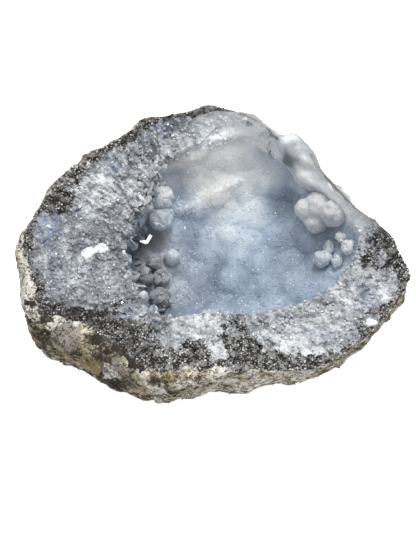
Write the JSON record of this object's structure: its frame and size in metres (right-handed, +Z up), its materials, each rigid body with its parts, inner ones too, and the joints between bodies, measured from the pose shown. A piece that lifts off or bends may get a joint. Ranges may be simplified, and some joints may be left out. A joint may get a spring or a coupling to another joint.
{
  "type": "chalcedony geode half",
  "caption": "Broken-open geode half resting on its rounded rind, with a pale blue druse-lined chalcedony hollow facing up and a rough quartz wall around it.",
  "frame": {"origin": "on the ground under the middle of the stone's bounding box", "axes": "+X along the stone's length, +Y from its front to its back, +Z up out of the hollow"},
  "size_m": [0.1082, 0.0874, 0.0405],
  "materials": {
    "stone": "rough broken quartz and weathered rind",
    "chalcedony": "waxy, with a sparkling druse",
    "quartz": "glassy crystal"
  },
  "bodies": {
    "root": {"geode_half": "stone", "knob_upper_left": "chalcedony", "knob_top_left": "chalcedony", "glassy_knob_left": "chalcedony", "glassy_knob_middle": "chalcedony", "glassy_knob_low": "chalcedony", "lobed_knobs_right": "chalcedony", "twin_knobs_right": "chalcedony", "knob_right_low": "chalcedony", "knob_right_edge": "chalcedony", "quartz_crystal_left": "quartz", "quartz_slab_left": "quartz", "quartz_cluster_right": "quartz"}
  },
  "joints": []
}
